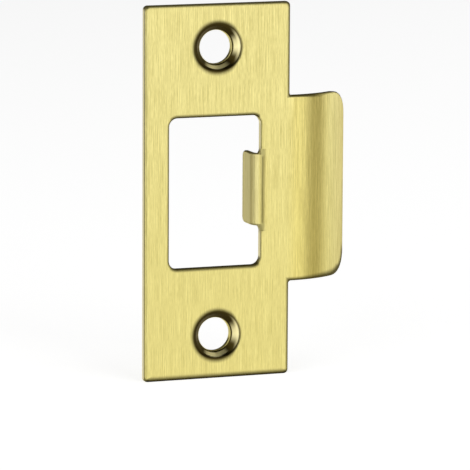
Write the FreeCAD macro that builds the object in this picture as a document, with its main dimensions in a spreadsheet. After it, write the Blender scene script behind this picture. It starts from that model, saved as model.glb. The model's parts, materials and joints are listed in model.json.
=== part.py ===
import FreeCAD, Part
import math
import os
import Sketcher

# Door strike plate with a curved lip, pressed from one piece of brass sheet.
#
# Frame: the origin is on the back (mounting) face, midway between the two screw
# holes. +X points along the plate's width towards the lip, +Y points into the door
# frame behind the plate, and +Z points up along the plate's length. The sheet lies
# between y = -sheet_thickness (the face that is seen) and y = 0 (the back).

# Every driving size, in millimetres or degrees, with what it measures.
SIZES = (
    ("plate_height", 70.0, "length of the plate, along Z"),
    ("plate_width", 28.6, "width of the plate without its lip, along X"),
    ("sheet_thickness", 1.2, "thickness of the sheet"),
    ("plate_corner_radius", 0.8, "outer corners of the plate, seen from the front"),
    ("lip_height", 34.9, "height of the lip, along Z"),
    ("lip_flat", 0.6, "flat start of the lip, beyond the plate's edge"),
    ("lip_bend_radius", 14.9, "radius of the lip's hollow side"),
    ("lip_bend_angle", 52.0, "angle through which the lip turns back"),
    ("lip_corner_radius", 4.5, "two free corners of the lip"),
    ("shoulder_radius", 0.5, "inside corners between the lip and the plate"),
    ("opening_height", 28.1, "height of the latch opening"),
    ("opening_corner_radius", 1.6, "corners of the latch opening"),
    ("strike_bar_width", 5.75, "width of the bar between the opening and the lip"),
    ("side_bar_width", 4.85, "width of the bar on the opening's other side"),
    ("tab_height", 13.6, "height of the tab, along Z"),
    ("tab_depth", 5.3, "how far the tab reaches behind the back face"),
    ("tab_bend_radius", 1.4, "radius of the hollow side of the tab's bend"),
    ("tab_inset", 0.1, "how far the tab's hidden side stands inside the opening's edge"),
    ("tab_corner_radius", 1.2, "two free corners of the tab"),
    ("tab_root_radius", 1.4, "fillets where the tab leaves the bar"),
    ("tab_root_angle", 40.0, "arc of each fillet, up to where it meets the tab"),
    ("hole_end_distance", 8.1, "from the centre of each screw hole to the end of the plate"),
    ("screw_hole_diameter", 6.3, "bore of each screw hole"),
    ("countersink_diameter", 8.8, "countersink at the front face, before its rim is rounded"),
    ("countersink_angle", 82.0, "included angle of the countersink"),
    ("countersink_rim_radius", 1.3, "rounded rim that the press leaves round the countersink"),
    ("dimple_height", 1.2, "how far the pressed countersink stands out of the back face"),
    ("dimple_wall", 0.85, "wall round the screw hole at the dimple's end"),
    ("dimple_root_radius", 0.6, "hollow corner between the dimple and the back face"),
    ("dimple_end_radius", 0.25, "outer edge at the dimple's end"),
    ("edge_radius", 0.55, "rolled edges of the plate and the lip, on the face that is seen"),
    ("opening_edge_radius", 0.3, "eased edge of the opening, on the face that is seen"),
    ("tab_edge_radius", 0.3, "eased edges of the tab, on the side that is seen"),
    ("tab_back_edge_radius", 0.65, "rounded edges of the tab, on the side towards the bar"),
)

# Places that several sketches share, worked out from the sizes. The bend of the tab
# starts in the bar, where the sheet is still flat.
OPENING_RIGHT = "(Sizes.plate_width / 2 - Sizes.strike_bar_width)"
OPENING_LEFT = "(Sizes.plate_width / 2 - Sizes.side_bar_width)"
LIP_START = "(Sizes.plate_width / 2 + Sizes.lip_flat)"
BEYOND_LIP = "(%s + Sizes.lip_bend_radius * 2)" % LIP_START
BEND_START = "(%s - Sizes.tab_inset + Sizes.tab_bend_radius)" % OPENING_RIGHT
ROOT_TOP = "(Sizes.tab_height / 2 + Sizes.tab_root_radius * sin(Sizes.tab_root_angle))"
ROOT_INSIDE = "(Sizes.tab_height / 2 - Sizes.tab_edge_radius - Sizes.tab_back_edge_radius)"
HOLE_PLACE = "(Sizes.plate_height / 2 - Sizes.hole_end_distance)"
DIMPLE_END = "(Sizes.screw_hole_diameter / 2 + Sizes.dimple_wall)"
FLARE = "tan(Sizes.countersink_angle / 2)"
DIMPLE_BASE = "(%s + Sizes.dimple_height * %s)" % (DIMPLE_END, FLARE)
CONE_DEPTH = "((Sizes.countersink_diameter - Sizes.screw_hole_diameter) / 2 / %s)" % FLARE
# Two lengths closer than this are taken as the same.
TOLERANCE = 1e-4

doc = FreeCAD.newDocument("door_strike_plate")
sheet = doc.addObject("Spreadsheet::Sheet", "Sizes")
for row, (alias, value, note) in enumerate(SIZES, start=1):
    sheet.set("A%d" % row, alias)
    sheet.set("B%d" % row, str(value))
    sheet.set("C%d" % row, note)
    sheet.setAlias("B%d" % row, alias)
doc.recompute()

body = doc.addObject("PartDesign::Body", "strike_plate")
body.Label = "strike_plate"


def amount(expression):
    """What an expression on the sheet's cells comes to."""
    return float(sheet.evalExpression(expression))


def new_sketch(name, role):
    """An empty sketch of the body on its own origin plane with this role."""
    sketch = body.newObject("Sketcher::SketchObject", name)
    plane = [item for item in body.Origin.OriginFeatures if item.Role == role][0]
    sketch.AttachmentSupport = (plane, [""])
    sketch.MapMode = "FlatFace"
    return sketch


def constrain(sketch, kind, *where):
    """Add a constraint that has no size."""
    sketch.addConstraint(Sketcher.Constraint(kind, *where))


def dimension(sketch, name, kind, where, expression):
    """Add a named dimension and bind it to the sheet of sizes."""
    value = amount(expression)
    if kind == "Angle":
        value = math.radians(value)
    index = sketch.addConstraint(Sketcher.Constraint(kind, *where, value))
    sketch.renameConstraint(index, name)
    sketch.setExpression("Constraints." + name, expression)


def line(sketch, start, end):
    """A straight edge from start to end."""
    segment = Part.LineSegment(FreeCAD.Vector(*start, 0), FreeCAD.Vector(*end, 0))
    return sketch.addGeometry(segment, False)


def arc(sketch, centre, radius, first, last):
    """An arc drawn anticlockwise from angle first to angle last, in degrees."""
    circle = Part.Circle(FreeCAD.Vector(*centre, 0), FreeCAD.Vector(0, 0, 1), radius)
    curve = Part.ArcOfCircle(circle, math.radians(first), math.radians(last))
    return sketch.addGeometry(curve, False)


def outline(sketch, points):
    """A closed outline of straight edges, joined end to end. Gives their numbers."""
    edges = [line(sketch, start, end) for start, end in zip(points, points[1:] + points[:1])]
    for edge, following in zip(edges, edges[1:] + edges[:1]):
        constrain(sketch, "Coincident", edge, 2, following, 1)
    return edges


def pad(name, sketch, length, side="Symmetric"):
    """Extrude the sketch, to both sides of its plane or, with "One side", along its normal."""
    feature = body.newObject("PartDesign::Pad", name)
    feature.Profile = sketch
    feature.SideType = side
    feature.setExpression("Length", length)
    doc.recompute()


def pocket(name, sketch, length=None):
    """Cut the sketch to both sides of its plane, right through or over this length."""
    before = body.Shape.Volume
    feature = body.newObject("PartDesign::Pocket", name)
    feature.Profile = sketch
    feature.SideType = "Symmetric"
    if length:
        feature.setExpression("Length", length)
    else:
        feature.Type = "ThroughAll"
    doc.recompute()
    if feature.Shape.Volume >= before:
        raise RuntimeError(name + " cuts nothing")


def fillet(name, edges, radius):
    """Round the body's edges with these numbers."""
    feature = body.newObject("PartDesign::Fillet", name)
    base = feature.BaseFeature or body.Tip
    feature.Base = (base, ["Edge%d" % number for number in edges])
    feature.setExpression("Radius", radius)
    doc.recompute()


def edge_numbers(test):
    """Numbers of the body's edges that pass the test."""
    return [number for number, edge in enumerate(body.Shape.Edges, start=1) if test(edge)]


def near(first, second):
    """Whether two lengths are the same."""
    return abs(first - second) < TOLERANCE


def add_plate_and_lip():
    """The plate and its lip in one section: a flat strip that runs into an arc."""
    sketch = new_sketch("SectionSketch", "XY_Plane")
    half = amount("Sizes.plate_width / 2")
    start = amount(LIP_START)
    thick = amount("Sizes.sheet_thickness")
    radius = amount("Sizes.lip_bend_radius")
    turn = amount("Sizes.lip_bend_angle")
    sine = math.sin(math.radians(turn))
    cosine = math.cos(math.radians(turn))
    inner_end = (start + radius * sine, radius - radius * cosine)
    outer_end = (start + (radius + thick) * sine, radius - (radius + thick) * cosine)

    back = line(sketch, (-half, 0), (start, 0))
    hollow = arc(sketch, (start, radius), radius, -90, turn - 90)
    lip_end = line(sketch, inner_end, outer_end)
    crown = arc(sketch, (start, radius), radius + thick, -90, turn - 90)
    front = line(sketch, (start, -thick), (-half, -thick))
    side = line(sketch, (-half, -thick), (-half, 0))

    constrain(sketch, "Tangent", back, 2, hollow, 1)
    constrain(sketch, "Coincident", hollow, 2, lip_end, 1)
    constrain(sketch, "Coincident", lip_end, 2, crown, 2)
    constrain(sketch, "Tangent", crown, 1, front, 1)
    constrain(sketch, "Coincident", front, 2, side, 1)
    constrain(sketch, "Coincident", side, 2, back, 1)
    constrain(sketch, "Coincident", hollow, 3, crown, 3)
    constrain(sketch, "PointOnObject", hollow, 3, lip_end)
    constrain(sketch, "PointOnObject", back, 1, -1)
    constrain(sketch, "Horizontal", back)
    constrain(sketch, "Horizontal", front)
    constrain(sketch, "Vertical", side)
    dimension(sketch, "left_edge", "DistanceX", (back, 1, -1, 1), "Sizes.plate_width / 2")
    dimension(sketch, "lip_start", "DistanceX", (-1, 1, back, 2), LIP_START)
    dimension(sketch, "thickness", "Distance", (side,), "Sizes.sheet_thickness")
    dimension(sketch, "hollow_radius", "Radius", (hollow,), "Sizes.lip_bend_radius")
    dimension(sketch, "lip_turn", "Angle", (hollow,), "Sizes.lip_bend_angle")
    pad("PlateAndLip", sketch, "Sizes.plate_height")


def add_shoulder_cut(sketch, mark, end):
    """What is cut away above the lip when end is 1, and below it when end is -1.

    The inside corner between the lip and the plate's edge is rounded.
    """
    x_near = amount("Sizes.plate_width / 2")
    x_far = amount(BEYOND_LIP)
    z_near = end * amount("Sizes.lip_height / 2")
    z_far = end * amount("Sizes.plate_height")
    radius = amount("Sizes.shoulder_radius")
    x_bend, z_bend = x_near + radius, z_near + end * radius

    upright = line(sketch, (x_near, z_far), (x_near, z_bend))
    level = line(sketch, (x_bend, z_near), (x_far, z_near))
    outer = line(sketch, (x_far, z_near), (x_far, z_far))
    cap = line(sketch, (x_far, z_far), (x_near, z_far))
    first = 180 if end > 0 else 90
    corner = arc(sketch, (x_bend, z_bend), radius, first, first + 90)
    upright_end, level_end = (1, 2) if end > 0 else (2, 1)

    constrain(sketch, "Tangent", upright, 2, corner, upright_end)
    constrain(sketch, "Tangent", corner, level_end, level, 1)
    constrain(sketch, "Coincident", level, 2, outer, 1)
    constrain(sketch, "Coincident", outer, 2, cap, 1)
    constrain(sketch, "Coincident", cap, 2, upright, 1)
    constrain(sketch, "Vertical", upright)
    constrain(sketch, "Horizontal", level)
    constrain(sketch, "Vertical", outer)
    constrain(sketch, "Horizontal", cap)
    dimension(sketch, "near_x" + mark, "DistanceX", (-1, 1, upright, 1), "Sizes.plate_width / 2")
    dimension(sketch, "far_x" + mark, "DistanceX", (-1, 1, outer, 1), BEYOND_LIP)
    dimension(sketch, "near_z" + mark, "DistanceY",
              (-1, 1, level, 1) if end > 0 else (level, 1, -1, 1), "Sizes.lip_height / 2")
    dimension(sketch, "far_z" + mark, "DistanceY",
              (-1, 1, cap, 1) if end > 0 else (cap, 1, -1, 1), "Sizes.plate_height")
    dimension(sketch, "radius" + mark, "Radius", (corner,), "Sizes.shoulder_radius")


def cut_shoulders():
    """Above and below the lip the plate ends at its own edge."""
    sketch = new_sketch("ShoulderSketch", "XZ_Plane")
    add_shoulder_cut(sketch, "_top", 1)
    add_shoulder_cut(sketch, "_bottom", -1)
    pocket("Shoulders", sketch)


def cut_opening():
    """The latch opening, a window with rounded corners."""
    sketch = new_sketch("OpeningSketch", "XZ_Plane")
    right = amount(OPENING_RIGHT)
    left = -amount(OPENING_LEFT)
    top = amount("Sizes.opening_height / 2")
    radius = amount("Sizes.opening_corner_radius")

    sides = (
        line(sketch, (left + radius, -top), (right - radius, -top)),
        line(sketch, (right, -top + radius), (right, top - radius)),
        line(sketch, (right - radius, top), (left + radius, top)),
        line(sketch, (left, top - radius), (left, -top + radius)),
    )
    corners = (
        arc(sketch, (right - radius, -top + radius), radius, 270, 360),
        arc(sketch, (right - radius, top - radius), radius, 0, 90),
        arc(sketch, (left + radius, top - radius), radius, 90, 180),
        arc(sketch, (left + radius, -top + radius), radius, 180, 270),
    )
    for place in range(4):
        constrain(sketch, "Tangent", sides[place], 2, corners[place], 1)
        constrain(sketch, "Tangent", corners[place], 2, sides[(place + 1) % 4], 1)
        if place:
            constrain(sketch, "Equal", corners[0], corners[place])
    bottom_side, right_side, top_side, left_side = sides
    constrain(sketch, "Horizontal", bottom_side)
    constrain(sketch, "Vertical", right_side)
    constrain(sketch, "Horizontal", top_side)
    constrain(sketch, "Vertical", left_side)
    dimension(sketch, "right", "DistanceX", (-1, 1, right_side, 1), OPENING_RIGHT)
    dimension(sketch, "left", "DistanceX", (left_side, 1, -1, 1), OPENING_LEFT)
    dimension(sketch, "top", "DistanceY", (-1, 1, top_side, 1), "Sizes.opening_height / 2")
    dimension(sketch, "bottom", "DistanceY", (bottom_side, 1, -1, 1), "Sizes.opening_height / 2")
    dimension(sketch, "radius", "Radius", (corners[0],), "Sizes.opening_corner_radius")
    pocket("LatchOpening", sketch)


def cut_bend_window():
    """Room in the bar for the tab's bend, as high as the tab and its root fillets."""
    sketch = new_sketch("BendWindowSketch", "XZ_Plane")
    right = amount(BEND_START)
    top = amount(ROOT_TOP)
    bottom_side, right_side, top_side, left_side = outline(
        sketch, [(0, -top), (right, -top), (right, top), (0, top)])
    constrain(sketch, "Horizontal", bottom_side)
    constrain(sketch, "Vertical", right_side)
    constrain(sketch, "Horizontal", top_side)
    constrain(sketch, "PointOnObject", left_side, 1, -2)
    constrain(sketch, "PointOnObject", left_side, 2, -2)
    dimension(sketch, "right", "DistanceX", (-1, 1, right_side, 1), BEND_START)
    dimension(sketch, "top", "DistanceY", (-1, 1, top_side, 1), ROOT_TOP)
    dimension(sketch, "bottom", "DistanceY", (bottom_side, 1, -1, 1), ROOT_TOP)
    pocket("BendWindow", sketch)


def add_tab():
    """The tab: it curves out of the bar and runs straight back into the frame."""
    sketch = new_sketch("TabSketch", "XY_Plane")
    start = amount(BEND_START)
    inner = amount("Sizes.tab_bend_radius")
    thick = amount("Sizes.sheet_thickness")
    depth = amount("Sizes.tab_depth")
    hidden_x, shown_x = start - inner, start - inner - thick

    root = line(sketch, (start, -thick), (start, 0))
    hollow = arc(sketch, (start, inner), inner, 180, 270)
    hidden = line(sketch, (hidden_x, inner), (hidden_x, depth))
    free_end = line(sketch, (hidden_x, depth), (shown_x, depth))
    shown = line(sketch, (shown_x, depth), (shown_x, inner))
    crown = arc(sketch, (start, inner), inner + thick, 180, 270)

    constrain(sketch, "Coincident", root, 2, hollow, 2)
    constrain(sketch, "Tangent", hollow, 1, hidden, 1)
    constrain(sketch, "Coincident", hidden, 2, free_end, 1)
    constrain(sketch, "Coincident", free_end, 2, shown, 1)
    constrain(sketch, "Tangent", shown, 2, crown, 1)
    constrain(sketch, "Coincident", crown, 2, root, 1)
    constrain(sketch, "Coincident", hollow, 3, crown, 3)
    constrain(sketch, "PointOnObject", hollow, 3, root)
    constrain(sketch, "PointOnObject", root, 2, -1)
    constrain(sketch, "Vertical", root)
    constrain(sketch, "Vertical", hidden)
    constrain(sketch, "Horizontal", free_end)
    constrain(sketch, "Vertical", shown)
    dimension(sketch, "start", "DistanceX", (-1, 1, root, 2), BEND_START)
    dimension(sketch, "thickness", "Distance", (root,), "Sizes.sheet_thickness")
    dimension(sketch, "bend_radius", "Radius", (hollow,), "Sizes.tab_bend_radius")
    dimension(sketch, "depth", "DistanceY", (-1, 1, free_end, 1), "Sizes.tab_depth")
    pad("Tab", sketch, "Sizes.tab_height")


def add_tab_roots():
    """Fillets above and below the tab, where its bend leaves the edge of the bar.

    They are padded as thick as the sheet, and their front is cut back to the bend.
    """
    sketch = new_sketch("RootSketch", "XZ_Plane")
    add_root(sketch, "_top", 1)
    add_root(sketch, "_bottom", -1)
    pad("TabRoots", sketch, "Sizes.sheet_thickness", "One side")

    sketch = new_sketch("CrownSketch", "XY_Plane")
    start = amount(BEND_START)
    inner = amount("Sizes.tab_bend_radius")
    thick = amount("Sizes.sheet_thickness")
    reach = inner + thick
    front = line(sketch, (start, -thick), (start - reach, -thick))
    side = line(sketch, (start - reach, -thick), (start - reach, inner))
    crown = arc(sketch, (start, inner), reach, 180, 270)
    constrain(sketch, "Coincident", front, 2, side, 1)
    constrain(sketch, "Tangent", side, 2, crown, 1)
    constrain(sketch, "Tangent", crown, 2, front, 1)
    constrain(sketch, "Horizontal", front)
    constrain(sketch, "Vertical", side)
    dimension(sketch, "start", "DistanceX", (-1, 1, crown, 3), BEND_START)
    dimension(sketch, "front", "DistanceY", (front, 1, -1, 1), "Sizes.sheet_thickness")
    dimension(sketch, "bend_centre", "DistanceY", (-1, 1, crown, 3), "Sizes.tab_bend_radius")
    pocket("RootCrown", sketch, "%s * 2" % ROOT_TOP)


def add_root(sketch, mark, end):
    """One root fillet, seen from the front; end is 1 above the tab, -1 below.

    Its arc runs smoothly into the opening's edge and meets the tab at an angle. The
    outline reaches into the tab, past its eased edge.
    """
    radius = amount("Sizes.tab_root_radius")
    turn = amount("Sizes.tab_root_angle")
    edge = amount(OPENING_RIGHT)
    start = amount(BEND_START)
    inside = end * amount(ROOT_INSIDE)
    low = end * amount("Sizes.tab_height / 2")
    high = end * amount(ROOT_TOP)
    meeting = edge - radius + radius * math.cos(math.radians(turn))
    side = line(sketch, (meeting, inside), (meeting, low))
    cap = line(sketch, (edge, high), (start, high))
    outer = line(sketch, (start, high), (start, inside))
    level = line(sketch, (start, inside), (meeting, inside))
    first, last = (-turn, 0) if end > 0 else (0, turn)
    curve = arc(sketch, (edge - radius, high), radius, first, last)
    at_tab, at_edge = (1, 2) if end > 0 else (2, 1)
    constrain(sketch, "Coincident", side, 2, curve, at_tab)
    constrain(sketch, "Coincident", curve, at_edge, cap, 1)
    constrain(sketch, "Coincident", cap, 2, outer, 1)
    constrain(sketch, "Coincident", outer, 2, level, 1)
    constrain(sketch, "Coincident", level, 2, side, 1)
    constrain(sketch, "PointOnObject", curve, 3, cap)
    constrain(sketch, "Horizontal", cap)
    constrain(sketch, "Horizontal", level)
    constrain(sketch, "Vertical", side)
    constrain(sketch, "Vertical", outer)
    dimension(sketch, "edge" + mark, "DistanceX", (-1, 1, cap, 1), OPENING_RIGHT)
    dimension(sketch, "start" + mark, "DistanceX", (-1, 1, cap, 2), BEND_START)
    dimension(sketch, "radius" + mark, "Radius", (curve,), "Sizes.tab_root_radius")
    dimension(sketch, "turn" + mark, "Angle", (curve,), "Sizes.tab_root_angle")
    dimension(sketch, "tab" + mark, "DistanceY",
              (-1, 1, curve, at_tab) if end > 0 else (curve, at_tab, -1, 1),
              "Sizes.tab_height / 2")
    dimension(sketch, "inside" + mark, "DistanceY",
              (-1, 1, level, 1) if end > 0 else (level, 1, -1, 1), ROOT_INSIDE)


def revolve(kind, name, sketch):
    """Turn the sketch about its own construction line."""
    feature = body.newObject(kind, name)
    feature.Profile = sketch
    feature.ReferenceAxis = (sketch, ["Axis0"])
    feature.Angle = 360
    doc.recompute()
    return feature


def hole_sketch(name):
    """A sketch on the plane x = 0 with the upper hole's axis as a construction line."""
    sketch = new_sketch(name, "YZ_Plane")
    height = amount(HOLE_PLACE)
    axis = line(sketch, (-1, height), (1, height))
    sketch.setConstruction(axis, True)
    constrain(sketch, "Symmetric", axis, 1, axis, 2, -2)
    dimension(sketch, "axis_height", "DistanceY", (-1, 1, axis, 1), HOLE_PLACE)
    dimension(sketch, "axis_length", "Distance", (axis,), "Sizes.sheet_thickness * 2")
    return sketch, axis, height


def add_dimple():
    """The upper hole's dimple, a cone frustum that stands out of the back."""
    sketch, axis, height = hole_sketch("DimpleSketch")
    thick = amount("Sizes.sheet_thickness")
    depth = amount("Sizes.dimple_height")
    end_radius = amount(DIMPLE_END)
    base_radius = amount(DIMPLE_BASE)
    inner, base, slope, rim, core = outline(sketch, [
        (-thick / 2, height), (-thick / 2, height + base_radius), (0, height + base_radius),
        (depth, height + end_radius), (depth, height)])
    constrain(sketch, "Vertical", inner)
    constrain(sketch, "Horizontal", base)
    constrain(sketch, "Vertical", rim)
    constrain(sketch, "PointOnObject", core, 1, axis)
    constrain(sketch, "PointOnObject", core, 2, axis)
    constrain(sketch, "PointOnObject", slope, 1, -2)
    dimension(sketch, "inside", "DistanceX", (inner, 1, -1, 1), "Sizes.sheet_thickness / 2")
    dimension(sketch, "height", "DistanceX", (-1, 1, rim, 1), "Sizes.dimple_height")
    dimension(sketch, "end_radius", "Distance", (rim,), DIMPLE_END)
    dimension(sketch, "base_radius", "Distance", (inner,), DIMPLE_BASE)
    return revolve("PartDesign::Revolution", "Dimple", sketch)


def cut_bore():
    """The upper hole: a round bore with a countersink on the face that is seen."""
    sketch, axis, height = hole_sketch("BoreSketch")
    thick = amount("Sizes.sheet_thickness")
    depth = amount("Sizes.dimple_height")
    bore = amount("Sizes.screw_hole_diameter / 2")
    mouth_radius = amount("Sizes.countersink_diameter / 2")
    cone = amount(CONE_DEPTH)
    mouth, seat, wall, floor, core = outline(sketch, [
        (-thick, height), (-thick, height + mouth_radius), (cone - thick, height + bore),
        (depth, height + bore), (depth, height)])
    constrain(sketch, "Vertical", mouth)
    constrain(sketch, "Horizontal", wall)
    constrain(sketch, "Vertical", floor)
    constrain(sketch, "PointOnObject", core, 1, axis)
    constrain(sketch, "PointOnObject", core, 2, axis)
    dimension(sketch, "face", "DistanceX", (mouth, 1, -1, 1), "Sizes.sheet_thickness")
    dimension(sketch, "height", "DistanceX", (-1, 1, floor, 1), "Sizes.dimple_height")
    dimension(sketch, "mouth_radius", "Distance", (mouth,), "Sizes.countersink_diameter / 2")
    dimension(sketch, "bore_radius", "Distance", (floor,), "Sizes.screw_hole_diameter / 2")
    dimension(sketch, "cone", "DistanceX", (seat, 1, seat, 2), CONE_DEPTH)
    return revolve("PartDesign::Groove", "Bore", sketch)


def add_holes():
    """Two countersunk holes, pressed so that a dimple stands out of the back."""
    upper = [add_dimple(), cut_bore()]
    lower = body.newObject("PartDesign::Mirrored", "LowerHole")
    lower.Originals = upper
    plane = [item for item in body.Origin.OriginFeatures if item.Role == "XY_Plane"][0]
    lower.MirrorPlane = (plane, [""])
    body.Tip = lower
    doc.recompute()


def is_ring(edge, y, radius):
    """Whether the edge is a full circle round a hole's axis, at this y and radius."""
    curve = edge.Curve
    return (isinstance(curve, Part.Circle) and near(curve.Center.y, y)
            and near(curve.Radius, radius) and near(abs(curve.Axis.y), 1))


def is_corner(edge, high):
    """Whether the edge is a straight one through the sheet, at this distance from z = 0."""
    return (isinstance(edge.Curve, Part.Line) and near(edge.BoundBox.ZLength, 0)
            and near(abs(edge.CenterOfMass.z), high))


def round_plate_corners():
    """The four corners of the plate and the two of the lip, seen from the front."""
    half_width = amount("Sizes.plate_width / 2")
    half_height = amount("Sizes.plate_height / 2")
    half_lip = amount("Sizes.lip_height / 2")
    turn = math.radians(amount("Sizes.lip_bend_angle"))
    lip_reach = amount(LIP_START) + amount("Sizes.lip_bend_radius") * math.sin(turn)

    def at_plate_corner(edge):
        return is_corner(edge, half_height) and near(abs(edge.CenterOfMass.x), half_width)

    def at_lip_corner(edge):
        return is_corner(edge, half_lip) and edge.CenterOfMass.x > lip_reach

    fillet("PlateCorners", edge_numbers(at_plate_corner), "Sizes.plate_corner_radius")
    fillet("LipCorners", edge_numbers(at_lip_corner), "Sizes.lip_corner_radius")


def round_tab_corners():
    """The tab's two free corners, seen from its side."""
    depth = amount("Sizes.tab_depth")
    half_tab = amount("Sizes.tab_height / 2")

    def at_tab_corner(edge):
        return is_corner(edge, half_tab) and near(edge.CenterOfMass.y, depth)

    fillet("TabCorners", edge_numbers(at_tab_corner), "Sizes.tab_corner_radius")


def border_of(is_shown):
    """Numbers of the edges between a face that passes the test and one that doesn't."""
    shape = body.Shape

    def on_border(edge):
        faces = shape.ancestorsOfType(edge, Part.Face)
        return len(faces) == 2 and is_shown(faces[0]) != is_shown(faces[1])

    return edge_numbers(on_border)


def is_upright_cylinder(face, radius):
    """Whether the face is part of a cylinder of this radius with its axis along Z."""
    surface = face.Surface
    return (isinstance(surface, Part.Cylinder) and near(surface.Radius, radius)
            and near(abs(surface.Axis.z), 1))


def ease_plate_edges():
    """Soft edges round the plate, its lip and the opening, on the face that is seen."""
    thick = amount("Sizes.sheet_thickness")
    crown = amount("Sizes.lip_bend_radius + Sizes.sheet_thickness")
    right = amount(OPENING_RIGHT)
    left = -amount(OPENING_LEFT)
    top = amount("Sizes.opening_height / 2")

    def is_shown(face):
        flat = near(face.BoundBox.YMin, -thick) and near(face.BoundBox.YMax, -thick)
        return flat or is_upright_cylinder(face, crown)

    def at_opening(number):
        place = body.Shape.Edges[number - 1].CenterOfMass
        across = left - TOLERANCE < place.x < right + TOLERANCE
        return across and abs(place.z) < top + TOLERANCE

    rim = border_of(is_shown)
    fillet("PlateEdges", [number for number in rim if not at_opening(number)],
           "Sizes.edge_radius")
    rim = border_of(is_shown)
    fillet("OpeningEdges", [number for number in rim if at_opening(number)],
           "Sizes.opening_edge_radius")


def tab_side_rim(bend_radius):
    """Edges round the tab's side that curves with this radius, up to where its bend starts."""
    radius = amount(bend_radius)
    start = amount(BEND_START)

    def is_side(face):
        flat = near(face.BoundBox.XMin, start - radius) and near(face.BoundBox.XMax, start - radius)
        return flat or is_upright_cylinder(face, radius)

    edges = body.Shape.Edges
    return [number for number in border_of(is_side)
            if not near(edges[number - 1].CenterOfMass.x, start)]


def ease_tab_edges():
    """Soft edges round both sides of the tab."""
    fillet("TabEdges", tab_side_rim("Sizes.tab_bend_radius + Sizes.sheet_thickness"),
           "Sizes.tab_edge_radius")
    fillet("TabBackEdges", tab_side_rim("Sizes.tab_bend_radius"), "Sizes.tab_back_edge_radius")


def round_holes():
    """The soft rim of each countersink, and the root and end of each dimple."""
    thick = amount("Sizes.sheet_thickness")
    depth = amount("Sizes.dimple_height")
    mouth = amount("Sizes.countersink_diameter / 2")
    end = amount(DIMPLE_END)
    base = amount(DIMPLE_BASE)
    fillet("CountersinkRims", edge_numbers(lambda edge: is_ring(edge, -thick, mouth)),
           "Sizes.countersink_rim_radius")
    fillet("DimpleRoots", edge_numbers(lambda edge: is_ring(edge, 0, base)),
           "Sizes.dimple_root_radius")
    fillet("DimpleEnds", edge_numbers(lambda edge: is_ring(edge, depth, end)),
           "Sizes.dimple_end_radius")


add_plate_and_lip()
cut_shoulders()
cut_opening()
round_plate_corners()
ease_plate_edges()
cut_bend_window()
add_tab()
round_tab_corners()
ease_tab_edges()
add_tab_roots()
add_holes()
round_holes()

for item in doc.Objects:
    if "Invalid" in item.State or "Error" in item.State:
        raise RuntimeError("%s failed: %s" % (item.Name, item.State))
    if item.TypeId == "Sketcher::SketchObject" and not item.FullyConstrained:
        raise RuntimeError(item.Name + " is not fully constrained")
if body.Shape.isNull() or not body.Shape.isValid() or len(body.Shape.Solids) != 1:
    raise RuntimeError("strike_plate is not one valid solid")

os.makedirs("parts", exist_ok=True)
body.Shape.exportStep("parts/strike_plate.step")
print("volume", round(body.Shape.Volume, 1), body.Shape.optimalBoundingBox(False))
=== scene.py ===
"""Looks of the strike plate: satin brass, brushed along its length, in a plain studio."""
import bpy
import json
import math
import numpy as np
from mathutils import Matrix, Vector


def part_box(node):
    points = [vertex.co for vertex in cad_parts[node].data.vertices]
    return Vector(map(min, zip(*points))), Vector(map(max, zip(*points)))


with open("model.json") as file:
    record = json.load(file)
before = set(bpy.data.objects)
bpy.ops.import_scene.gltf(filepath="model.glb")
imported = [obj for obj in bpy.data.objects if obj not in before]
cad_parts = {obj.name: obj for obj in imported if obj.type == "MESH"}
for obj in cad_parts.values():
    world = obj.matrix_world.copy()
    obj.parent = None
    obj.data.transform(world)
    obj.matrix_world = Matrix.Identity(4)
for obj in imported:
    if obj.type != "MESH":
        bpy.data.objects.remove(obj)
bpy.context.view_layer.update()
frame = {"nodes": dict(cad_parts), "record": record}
MM = 0.001

# The plate and its screw holes, from the frame.
PLATE = frame["nodes"]["strike_plate"]
PLATE_LOW, PLATE_HIGH = (np.array(corner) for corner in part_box("strike_plate"))
SCREW_HOLES = [mount for mount in frame["record"]["mounts"] if mount["name"] == "screw_holes"][0]
HOLE_HEIGHT = SCREW_HOLES["dims"]["spacing_y_mm"] / 2 * MM
HOLE_RADIUS = SCREW_HOLES["dims"]["hole_r_mm"] * MM

# The latch opening and the tab, measured from the plate's middle.
OPENING_LEFT = -9.45 * MM
OPENING_RIGHT = 8.55 * MM
OPENING_HALF_HEIGHT = 14.05 * MM
OPENING_CORNER = 1.6 * MM
TAB_HALF_HEIGHT = 6.8 * MM
TAB_BEND_LINE = 8.95 * MM

# The outline that the lip's band of painted shade follows. It lies a little outside the
# lip's end, and its corners are a little tighter than the sheet's.
LIP_END = 27.5 * MM
LIP_HALF_HEIGHT = 17.45 * MM
LIP_CORNER = 4.2 * MM

# The band of painted shade along each outline: how wide and how strong it is along the
# left, right, lower and upper edge.
PLATE_WIDTHS = (0.3 * MM, 0.8 * MM, 1.25 * MM, 0.65 * MM)
PLATE_STRENGTHS = (0.7, 0.85, 1.0, 0.8)
PLATE_BAND_CORNER = 1.2 * MM
OPENING_WIDTHS = (0.55 * MM, 0.3 * MM, 0.75 * MM, 0.8 * MM)
OPENING_STRENGTHS = (0.8, 0.55, 0.9, 0.95)
TAB_WIDTHS = (0.3 * MM, 0.3 * MM, 0.5 * MM, 0.3 * MM)
TAB_STRENGTHS = (1.0, 1.0, 1.0, 1.0)
LIP_LEFT_WIDTH = 0.6 * MM
LIP_RIGHT_WIDTH = 1.3 * MM
LIP_UPPER_WIDTH = 0.5 * MM
METAL_INSIDE = -1
METAL_OUTSIDE = 1

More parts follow.
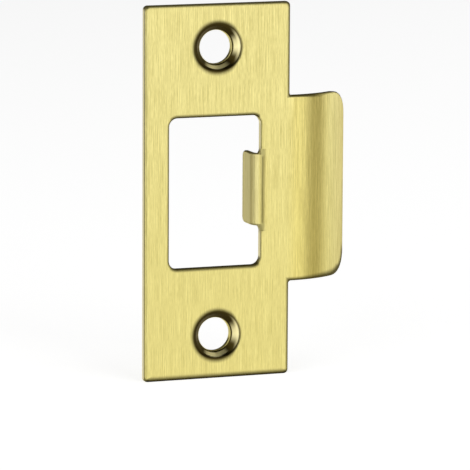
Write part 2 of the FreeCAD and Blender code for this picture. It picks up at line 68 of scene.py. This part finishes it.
# Stripes, each given by the four places where it starts, is full, begins to fade and ends.
# The first five are along X, and the next is a height above or below the middle. So is
# TAB_BEND_ENDS, where the bend ends and is full.
LIP_START = (13.5 * MM, 16 * MM, 18.5 * MM, 21.5 * MM)
LIP_MIDDLE = (17 * MM, 20 * MM, 20.5 * MM, 23 * MM)
TAB_BEND = (TAB_BEND_LINE - 0.5 * MM, TAB_BEND_LINE, TAB_BEND_LINE, TAB_BEND_LINE + 1.5 * MM)
TAB_SIDE = (5 * MM, 6 * MM, 8.2 * MM, 8.45 * MM)
ROOT_FILLET_ACROSS = (7 * MM, 8 * MM, 8.7 * MM, 9.3 * MM)
ROOT_FILLET_ALONG = (6.2 * MM, 7 * MM, 7.5 * MM, 8.4 * MM)
TAB_BEND_ENDS = (TAB_HALF_HEIGHT - 0.2 * MM, TAB_HALF_HEIGHT - 0.9 * MM)

# The countersinks, as distances from the hole's axis. The rim is wider at the left.
CONE = (HOLE_RADIUS + 0.2 * MM, HOLE_RADIUS + 0.35 * MM, HOLE_RADIUS + 1.1 * MM, HOLE_RADIUS + 1.5 * MM)
THROAT_START = HOLE_RADIUS + 0.03 * MM
THROAT_FULL = HOLE_RADIUS + 0.1 * MM
RIM_FULL = HOLE_RADIUS + 1.25 * MM
RIM_END_LEFT = HOLE_RADIUS + 2.3 * MM
RIM_END_RIGHT = HOLE_RADIUS + 1.85 * MM

# How a surface faces, as the part of its outward direction along one axis at which a look
# starts and is full. The last two are stripes.
FACES_FRONT = (0.3, 0.0)
FACES_BACK = (-0.25, 0.0)
FACES_NOT_UP = (0.7, 0.3)
CUT_WALL_LEFT = (-0.88, -0.97)
TAB_SIDE_LEFT = (-0.9, -0.99)
CONE_LEFT = (-0.2, -0.5)
CONE_UP = (0.56, 0.74)
CONE_LEVEL = (-0.5, -0.15, -0.05, 0.4)
TAB_TURN = (-1.0, -0.985, -0.95, -0.86)

# The brushing. Fine grit leaves lines of about 0.08 mm. A pixel takes in two or three of
# them, so they show as soft streaks, some long and some short. The broad ones are the
# belt's uneven pressure.
LINE_WIDTH = 0.08 * MM
LONG_LINE = 7 * MM
SHORT_LINE = 1.3 * MM
BROAD_WIDTH = 1.5 * MM
BROAD_LENGTH = 20 * MM
LONG_SHARE = 0.6
SHORT_SHARE = 0.3
BROAD_SHARE = 0.1
LINE_DEPTH = 0.01 * MM
LINE_STRENGTH = 0.25
STREAK_DETAIL = 1.0
STREAK_ROUGHNESS = 0.6

# The metal's gloss, and the highlight that the brushing draws out sideways.
BRUSHED_ROUGHNESS = 0.35
BARE_ROUGHNESS = 0.3
SINK_BOTTOM_ROUGHNESS = 0.5
# How metallic the sheet stays under the painted edge shade, which is made matt.
SHADE_METALLIC = 0.2
BRUSHED_ANISOTROPY = 0.85
QUARTER_TURN = 0.25

# Colours of the brass, as sRGB. A tint multiplies what is under it. The two line colours
# and the grazing tint are the brass's own; the others paint light and shade into it.
BRASS_DARK_LINE = "#c6b973"
BRASS_LIGHT_LINE = "#eade95"
EDGE_SHADE = "#332b0c"
SINK_SHADE = "#3c3214"
SINK_HIGHLIGHT = "#f6ebb0"
UPPER_END_TINT = "#fdfeff"
LOWER_END_TINT = "#fffff6"
BEND_SHADE_TINT = "#f0ebd6"
LIP_START_TINT = "#fffcee"
LIP_END_TINT = "#f6f7fe"
TAB_PAINTED_TONE = "#efe8c4"
LIT_WALL_TONE = "#f0ead0"
TAB_SIDE_SHADE = "#ebedf4"
TAB_TURN_SHADE = "#f0ebde"
GRAZING_TINT = "#fff6dc"

# Settings of the nodes that are used most.
TIMES = {"operation": "MULTIPLY"}
PLUS = {"operation": "ADD"}
LESS = {"operation": "SUBTRACT"}
OVER = {"operation": "DIVIDE"}
LARGER = {"operation": "MAXIMUM"}
SMALLER = {"operation": "MINIMUM"}
WITHOUT_SIGN = {"operation": "ABSOLUTE"}
ROOT = {"operation": "SQRT"}
STRAIGHT = {"interpolation_type": "LINEAR"}
SMOOTH = {"interpolation_type": "SMOOTHSTEP"}
COVER = {"data_type": "RGBA", "blend_type": "MIX"}
TINT = {"data_type": "RGBA", "blend_type": "MULTIPLY"}

# The camera, as solved from the outlines of the plate.
CAMERA_AZIMUTH = math.radians(-20.458)
CAMERA_ELEVATION = math.radians(9.179)
CAMERA_ROLL = math.radians(0.297)
CAMERA_DISTANCE = 787.2 * MM
CAMERA_RIGHT = 3.644 * MM
CAMERA_UP = -8.089 * MM
FOCAL_PIXELS = 4251
IMAGE_PIXELS = 470
SENSOR_WIDTH = 36
CLIP_START = 10 * MM

# The studio. Each softbox has its azimuth, width and height as angles in degrees, seen
# from the plate, and its radiance.
FLOOR_HALF_SIDE = 6.0
FLOOR_GLOW = 0.75
FLOOR_WHITE = "#e6e6e6"
ROOM_GREY = "#404040"
SOFTBOX_DISTANCE = 1.2
SOFTBOXES = (
    ("front_softbox", 21.5, 43, 45, 1.6),
    ("right_softbox", 94, 48, 45, 1.2),
    ("left_softbox", -60, 64, 45, 1.5),
)


def rgba(hex_colour):
    """An sRGB colour written as #rrggbb, turned to linear light."""
    channels = np.array([int(hex_colour[place:place + 2], 16) for place in (1, 3, 5)]) / 255
    linear = np.where(channels <= 0.04045, channels / 12.92, ((channels + 0.055) / 1.055) ** 2.4)
    return (*linear.tolist(), 1.0)


def new_tree(owner):
    """The emptied node tree of a material or world."""
    owner.use_nodes = True
    owner.node_tree.nodes.clear()
    return owner.node_tree


def add(tree, kind, settings, *inputs, **named):
    """Add a shader node, and return the first of its outputs that is in use.

    Settings are its properties. Inputs go to its sockets in use, in their order, and a
    named one goes to the socket of that name, with _ for a space. An input is a value, or
    an output to link.
    """
    node = tree.nodes.new("ShaderNode" + kind)
    for name, value in settings.items():
        setattr(node, name, value)
    in_use = [socket for socket in node.inputs if socket.enabled]
    by_name = [(node.inputs[name.replace("_", " ")], value) for name, value in named.items()]
    for socket, value in [*zip(in_use, inputs), *by_name]:
        if isinstance(value, bpy.types.NodeSocket):
            tree.links.new(value, socket)
        else:
            socket.default_value = value
    return next((socket for socket in node.outputs if socket.enabled), None)


def stripe(tree, value, start, full, fading, end):
    """0 up to the start and from the end on, and 1 from full to fading, with smooth steps."""
    rise = add(tree, "MapRange", SMOOTH, value, start, full)
    fall = add(tree, "MapRange", SMOOTH, value, end, fading)
    return add(tree, "Math", TIMES, rise, fall)


def streaks(tree, place, width, length):
    """Noise drawn out along Z into streaks of this width and length, in metres."""
    stretched = add(tree, "Mapping", {}, place, Scale=(1 / width, 1 / width, 1 / length))
    return add(tree, "TexNoise", {"noise_dimensions": "3D"}, stretched, Scale=1.0,
               Detail=STREAK_DETAIL, Roughness=STREAK_ROUGHNESS)


def edge_band(tree, axes, box, metal, widths, strengths, corner=0.0):
    """A band of painted shade along the outline of a box in X and Z, with corners of this radius.

    The box is its left, right, lower and upper edge. The metal lies outside or inside
    the box, and the band is full on the other side of the outline. The distance from the
    outline is, past a corner's centre, the distance from that centre less the radius,
    and elsewhere the larger of those from the sides and the ends. The band fades out
    over its width, and width and strength are given for the left, right, lower and upper
    edge. Left goes over to right, and lower to upper, at the box's middle, and the sides
    go over to the ends on the corners' diagonals.
    """
    left, right, lower, upper = box
    across = add(tree, "Math", LESS, axes["X"], (left + right) / 2)
    along = add(tree, "Math", LESS, axes["Z"], (lower + upper) / 2)
    aside = add(tree, "Math", LESS, add(tree, "Math", WITHOUT_SIGN, across), (right - left) / 2 - corner)
    beyond = add(tree, "Math", LESS, add(tree, "Math", WITHOUT_SIGN, along), (upper - lower) / 2 - corner)
    inside = add(tree, "Math", SMALLER, add(tree, "Math", LARGER, aside, beyond), 0.0)
    past_side = add(tree, "Math", LARGER, aside, 0.0)
    past_end = add(tree, "Math", LARGER, beyond, 0.0)
    square = add(tree, "Math", PLUS, add(tree, "Math", TIMES, past_side, past_side),
                 add(tree, "Math", TIMES, past_end, past_end))
    distance = add(tree, "Math", PLUS, inside, add(tree, "Math", ROOT, square))
    depth = add(tree, "Math", TIMES, add(tree, "Math", LESS, distance, corner), metal)

    at_right = add(tree, "MapRange", SMOOTH, across, -1 * MM, 1 * MM)
    at_top = add(tree, "MapRange", SMOOTH, along, -1 * MM, 1 * MM)
    at_end = add(tree, "MapRange", SMOOTH, add(tree, "Math", LESS, beyond, aside), -0.4 * MM, 0.4 * MM)
    here = []
    for at_left_edge, at_right_edge, at_lower_edge, at_upper_edge in (widths, strengths):
        on_sides = add(tree, "MapRange", STRAIGHT, at_right, 0.0, 1.0, at_left_edge, at_right_edge)
        on_ends = add(tree, "MapRange", STRAIGHT, at_top, 0.0, 1.0, at_lower_edge, at_upper_edge)
        here.append(add(tree, "MapRange", STRAIGHT, at_end, 0.0, 1.0, on_sides, on_ends))
    width, strength = here
    band = add(tree, "MapRange", SMOOTH, add(tree, "Math", OVER, depth, width), 1.0, 0.1)
    return add(tree, "Math", TIMES, band, strength)


def painted_edge_shade(tree, axes):
    """How strongly shade is painted along the sheet's cut edges, 0 to 1.

    The outline is that of the plate with its lip, and that of the opening without the
    tab. On the lip the band is wider below, towards the end, and dark down the end only
    near the lower corner. Above the middle it fades out towards the lip's end.
    """
    plate = edge_band(tree, axes, (PLATE_LOW[0], -PLATE_LOW[0], PLATE_LOW[2], PLATE_HIGH[2]),
                      METAL_INSIDE, PLATE_WIDTHS, PLATE_STRENGTHS, PLATE_BAND_CORNER)
    lower_width = add(tree, "MapRange", SMOOTH, axes["X"], 15 * MM, 26 * MM, 0.9 * MM, 1.7 * MM)
    end_strength = add(tree, "MapRange", SMOOTH, axes["Z"], -11 * MM, -14 * MM, 0.15, 1.0)
    lip = edge_band(tree, axes, (0.0, LIP_END, -LIP_HALF_HEIGHT, LIP_HALF_HEIGHT), METAL_INSIDE,
                    (LIP_LEFT_WIDTH, LIP_RIGHT_WIDTH, lower_width, LIP_UPPER_WIDTH),
                    (1.0, end_strength, 1.0, 1.0), LIP_CORNER)
    opening = edge_band(tree, axes, (OPENING_LEFT, OPENING_RIGHT, -OPENING_HALF_HEIGHT, OPENING_HALF_HEIGHT),
                        METAL_OUTSIDE, OPENING_WIDTHS, OPENING_STRENGTHS, OPENING_CORNER)
    tab = edge_band(tree, axes, (OPENING_RIGHT - 3 * MM, OPENING_RIGHT + 3 * MM, -TAB_HALF_HEIGHT,
                                 TAB_HALF_HEIGHT), METAL_INSIDE, TAB_WIDTHS, TAB_STRENGTHS)
    left_of_end = add(tree, "MapRange", SMOOTH, axes["X"], 25 * MM, 18 * MM)
    below_middle = add(tree, "MapRange", SMOOTH, axes["Z"], 1 * MM, -1 * MM)
    outside = add(tree, "Math", TIMES, add(tree, "Math", SMALLER, plate, lip),
                  add(tree, "Math", LARGER, left_of_end, below_middle))
    return add(tree, "Math", LARGER, outside, add(tree, "Math", SMALLER, opening, tab))


def countersinks(tree, axes, facing):
    """Where the countersinks are, where their cone is painted light, and where that is its bottom.

    A countersink has a rim and throat of painted shade, and between them a cone with a
    painted highlight at its right and at its bottom. The radius is the distance from the
    nearer hole's axis.
    """
    above = add(tree, "Math", LESS, add(tree, "Math", WITHOUT_SIGN, axes["Z"]), HOLE_HEIGHT)
    square = add(tree, "Math", PLUS, add(tree, "Math", TIMES, above, above),
                 add(tree, "Math", TIMES, axes["X"], axes["X"]))
    radius = add(tree, "Math", ROOT, square)
    rim_end = add(tree, "MapRange", SMOOTH, axes["X"], 2.8 * MM, 4.2 * MM, RIM_END_LEFT, RIM_END_RIGHT)
    faces_front = add(tree, "MapRange", SMOOTH, facing["Y"], *FACES_FRONT)
    in_sink = add(tree, "Math", TIMES, faces_front,
                  stripe(tree, radius, THROAT_START, THROAT_FULL, RIM_FULL, rim_end))
    at_right = add(tree, "Math", TIMES, add(tree, "MapRange", SMOOTH, facing["X"], *CONE_LEFT),
                   stripe(tree, facing["Z"], *CONE_LEVEL))
    at_bottom = add(tree, "MapRange", SMOOTH, facing["Z"], *CONE_UP)
    cone_highlight = add(tree, "Math", TIMES, stripe(tree, radius, *CONE),
                     add(tree, "Math", LARGER, at_right, at_bottom))
    return in_sink, cone_highlight, add(tree, "Math", TIMES, cone_highlight, at_bottom)


def brushed_brass():
    """Satin brass sheet, brushed with fine grit along Z, with light and shade painted into it.

    The brushing gives fine upright streaks and a soft highlight drawn out across them.
    Along the cut edges a dark, matt band of painted shade draws the outline. The
    countersinks get painted shade on their rim and throat and a painted highlight on their
    cone. The cut walls that face left get a lighter painted tone instead of the band, and
    further tones are painted in for the light on the ends, the lip and the tab.
    """
    material = bpy.data.materials.new("brushed_brass")
    tree = new_tree(material)
    coordinates = add(tree, "TexCoord", {}).node.outputs
    place = coordinates["Object"]
    axes = add(tree, "SeparateXYZ", {}, place).node.outputs
    facing = add(tree, "SeparateXYZ", {}, coordinates["Normal"]).node.outputs
    height = add(tree, "Math", WITHOUT_SIGN, axes["Z"])

    # The cut walls that face left get a lighter tone painted in as light, in place of the
    # painted edge shade. The tab's side, which also faces left, is no cut wall.
    on_tab = add(tree, "Math", TIMES, stripe(tree, axes["X"], *TAB_SIDE),
                 add(tree, "MapRange", SMOOTH, height, 8 * MM, 7.5 * MM))
    is_wall = add(tree, "Math", TIMES, add(tree, "MapRange", SMOOTH, facing["X"], *CUT_WALL_LEFT),
                  add(tree, "Math", LESS, 1.0, on_tab))
    edge_shade_band = painted_edge_shade(tree, axes)
    lit_wall = add(tree, "Math", TIMES, edge_shade_band, is_wall)
    painted_shade = add(tree, "Math", TIMES, edge_shade_band, add(tree, "Math", LESS, 1.0, is_wall))

    # The painted edge shade is weaker where walls and edges face sideways, down or back.
    faces_away = add(tree, "Math", TIMES, add(tree, "MapRange", SMOOTH, facing["Y"], *FACES_BACK),
                     add(tree, "MapRange", SMOOTH, facing["Z"], *FACES_NOT_UP))
    painted_shade = add(tree, "Math", TIMES, painted_shade,
                  add(tree, "MapRange", STRAIGHT, faces_away, 0.0, 1.0, 1.0, 0.35))

    # A fine dark line of painted shade runs along the tab's bend, and more painted shade lies
    # where the tab's root fillets run into the plate.
    in_bend = add(tree, "Math", TIMES, stripe(tree, axes["X"], *TAB_BEND),
                  add(tree, "MapRange", SMOOTH, height, *TAB_BEND_ENDS))
    from_line = add(tree, "Math", WITHOUT_SIGN, add(tree, "Math", LESS, axes["X"], TAB_BEND_LINE))
    bend_line = add(tree, "Math", TIMES, in_bend,
                    add(tree, "MapRange", SMOOTH, from_line, 0.24 * MM, 0.04 * MM))
    root_fillets = add(tree, "Math", TIMES, stripe(tree, height, *ROOT_FILLET_ALONG),
                       stripe(tree, axes["X"], *ROOT_FILLET_ACROSS))
    fillet_strength = add(tree, "MapRange", SMOOTH, axes["Z"], -1 * MM, 1 * MM, 0.38, 0.08)
    painted_shade = add(tree, "Math", LARGER, painted_shade, add(tree, "Math", TIMES, bend_line, 0.36))
    painted_shade = add(tree, "Math", LARGER, painted_shade, add(tree, "Math", TIMES, root_fillets, fillet_strength))

    # The brushing, as a relief and as a colour between the dark and the light lines. It is
    # a little fainter towards the plate's lower end.
    relief = add(tree, "Math", PLUS,
                 add(tree, "Math", TIMES, streaks(tree, place, LINE_WIDTH, LONG_LINE), LONG_SHARE),
                 add(tree, "Math", TIMES, streaks(tree, place, LINE_WIDTH, SHORT_LINE), SHORT_SHARE))
    relief = add(tree, "Math", PLUS, relief,
                 add(tree, "Math", TIMES, streaks(tree, place, BROAD_WIDTH, BROAD_LENGTH), BROAD_SHARE))
    at_lower_end = add(tree, "MapRange", SMOOTH, axes["Z"], 30 * MM, -25 * MM)
    spread = add(tree, "MapRange", STRAIGHT, at_lower_end, 0.0, 1.0, 0.09, 0.135)
    lines = add(tree, "MapRange", STRAIGHT, relief, add(tree, "Math", LESS, 0.5, spread),
                add(tree, "Math", PLUS, 0.5, spread))
    brass = add(tree, "Mix", COVER, lines, rgba(BRASS_DARK_LINE), rgba(BRASS_LIGHT_LINE))

    # How the brass's colour is changed from place to place, one layer over the other, all of it
    # painted light and shade: a warmer tone painted towards the lower end, painted shade in
    # the lip's middle and along the tab's bend, tones painted in for the light on the tab and
    # at the lip's start and end, a lighter painted tone on the cut walls that face left,
    # painted shade on the tab's side and turning edge, and the band of painted shade along the
    # edges. The tab's turning edge is where its side goes over into its rounded crown.
    end_light_tint = add(tree, "Mix", COVER, at_lower_end, rgba(UPPER_END_TINT), rgba(LOWER_END_TINT))
    # The share named stretched is where shade is painted, in the lip's middle and along the tab's bend.
    stretched = add(tree, "Math", LARGER, stripe(tree, axes["X"], *LIP_MIDDLE),
                    add(tree, "Math", TIMES, in_bend, 0.5))
    lip_end = add(tree, "MapRange", SMOOTH, axes["X"], 21.8 * MM, 25 * MM)
    tab_side = add(tree, "Math", TIMES, on_tab, add(tree, "MapRange", SMOOTH, facing["X"], *TAB_SIDE_LEFT))
    tab_turn = add(tree, "Math", TIMES, on_tab, stripe(tree, facing["X"], *TAB_TURN))
    for settings, share, layer in (
            (TINT, 1.0, end_light_tint),
            (TINT, stretched, rgba(BEND_SHADE_TINT)),
            (COVER, add(tree, "Math", TIMES, on_tab, 0.15), rgba(TAB_PAINTED_TONE)),
            (TINT, stripe(tree, axes["X"], *LIP_START), rgba(LIP_START_TINT)),
            (TINT, lip_end, rgba(LIP_END_TINT)),
            (COVER, lit_wall, rgba(LIT_WALL_TONE)),
            (TINT, tab_side, rgba(TAB_SIDE_SHADE)),
            (TINT, tab_turn, rgba(TAB_TURN_SHADE)),
            (COVER, painted_shade, rgba(EDGE_SHADE))):
        brass = add(tree, "Mix", settings, share, brass, layer)

    # The countersinks: painted shade on the rim and throat, and a painted highlight on the cone.
    in_sink, cone_highlight, sink_bottom = countersinks(tree, axes, facing)
    sink = add(tree, "Mix", COVER, cone_highlight, rgba(SINK_SHADE), rgba(SINK_HIGHLIGHT))
    colour = add(tree, "Mix", COVER, in_sink, brass, sink)
    bare = add(tree, "Math", LARGER, painted_shade, in_sink)
    roughness = add(tree, "MapRange", STRAIGHT, bare, 0.0, 1.0, BRUSHED_ROUGHNESS, BARE_ROUGHNESS)
    roughness = add(tree, "MapRange", STRAIGHT, sink_bottom, 0.0, 1.0, roughness, SINK_BOTTOM_ROUGHNESS)
    # The painted edge shade is made matt, so less of the metal's gloss shows through it.
    metallic = add(tree, "MapRange", STRAIGHT, painted_shade, 0.0, 1.0, 1.0, SHADE_METALLIC)
    bump = add(tree, "Bump", {}, Strength=LINE_STRENGTH, Distance=LINE_DEPTH, Height=relief)
    tangent = add(tree, "Tangent", {"direction_type": "RADIAL", "axis": "Z"})
    shader = add(tree, "BsdfPrincipled", {}, Base_Color=colour, Metallic=metallic, Roughness=roughness,
                 Anisotropic=BRUSHED_ANISOTROPY, Anisotropic_Rotation=QUARTER_TURN,
                 Specular_Tint=rgba(GRAZING_TINT), Specular_IOR_Level=0.0, Normal=bump, Tangent=tangent)
    add(tree, "OutputMaterial", {}, Surface=shader)
    return material


def white_floor():
    """A matt white studio floor that keeps a faint shadow of the plate."""
    material = bpy.data.materials.new("white_floor")
    tree = new_tree(material)
    path = add(tree, "LightPath", {}).node.outputs
    seen = add(tree, "Math", LARGER, path["Is Camera Ray"], path["Is Glossy Ray"])
    seen = add(tree, "Math", LARGER, seen, path["Is Transmission Ray"])
    glow = add(tree, "Emission", {}, rgba("#ffffff"), add(tree, "Math", TIMES, seen, FLOOR_GLOW))
    matt = add(tree, "BsdfDiffuse", {}, rgba(FLOOR_WHITE))
    add(tree, "OutputMaterial", {}, Surface=add(tree, "AddShader", {}, glow, matt))
    return material


def add_floor():
    """A square floor level with the plate's lower edge.

    A corner is half the side times its two signs, at that height.
    """
    signs = np.array([(-1, -1), (1, -1), (1, 1), (-1, 1)])
    corners = np.column_stack([signs * FLOOR_HALF_SIDE, np.full(len(signs), PLATE_LOW[2])])
    mesh = bpy.data.meshes.new("floor")
    mesh.from_pydata(corners.tolist(), [], [(0, 1, 2, 3)])
    mesh.materials.append(white_floor())
    floor = bpy.data.objects.new("floor", mesh)
    bpy.context.collection.objects.link(floor)


def direction(azimuth, elevation):
    """Unit vector at this azimuth, from -Y towards +X, and elevation, in radians."""
    return Vector((math.sin(azimuth) * math.cos(elevation),
                   -math.cos(azimuth) * math.cos(elevation), math.sin(elevation)))


def add_camera():
    """The photograph's viewpoint: a long lens, a little above the plate and left of it."""
    back = direction(CAMERA_AZIMUTH, CAMERA_ELEVATION)
    level = Vector((math.cos(CAMERA_AZIMUTH), math.sin(CAMERA_AZIMUTH), 0))
    upright = back.cross(level)
    right = level * math.cos(CAMERA_ROLL) + upright * math.sin(CAMERA_ROLL)
    up = upright * math.cos(CAMERA_ROLL) - level * math.sin(CAMERA_ROLL)
    data = bpy.data.cameras.new("camera")
    data.sensor_width = SENSOR_WIDTH
    data.lens = FOCAL_PIXELS * SENSOR_WIDTH / IMAGE_PIXELS
    data.clip_start = CLIP_START
    camera = bpy.data.objects.new("camera", data)
    place = back * CAMERA_DISTANCE + right * CAMERA_RIGHT + up * CAMERA_UP
    turn = Matrix((right, up, back)).transposed().to_4x4()
    camera.matrix_world = Matrix.Translation(place) @ turn
    bpy.context.collection.objects.link(camera)
    bpy.context.scene.camera = camera


def add_softbox(name, azimuth, width, height, radiance):
    """An upright soft light that stands on the floor and faces the plate.

    Its side is the distance times the tangent of its angle, and its power is pi times
    its radiance and its area.
    """
    data = bpy.data.lights.new(name, "AREA")
    data.shape = "RECTANGLE"
    data.size = 2 * SOFTBOX_DISTANCE * math.tan(math.radians(width / 2))
    data.size_y = SOFTBOX_DISTANCE * math.tan(math.radians(height))
    data.energy = radiance * math.pi * data.size * data.size_y
    lamp = bpy.data.objects.new(name, data)
    out = direction(math.radians(azimuth), 0)
    place = out * SOFTBOX_DISTANCE + Vector((0, 0, PLATE_LOW[2] + data.size_y / 2))
    lamp.matrix_world = Matrix.Translation(place) @ out.to_track_quat("Z", "Y").to_matrix().to_4x4()
    bpy.context.collection.objects.link(lamp)


def add_world():
    """A dim grey room."""
    world = bpy.data.worlds.new("studio")
    tree = new_tree(world)
    add(tree, "OutputWorld", {}, Surface=add(tree, "Background", {}, rgba(ROOM_GREY)))
    bpy.context.scene.world = world


brass = brushed_brass()
for slot in PLATE.material_slots:
    slot.material = brass
add_floor()
add_world()
for softbox in SOFTBOXES:
    add_softbox(*softbox)
add_camera()
bpy.context.scene.view_settings.view_transform = "Standard"
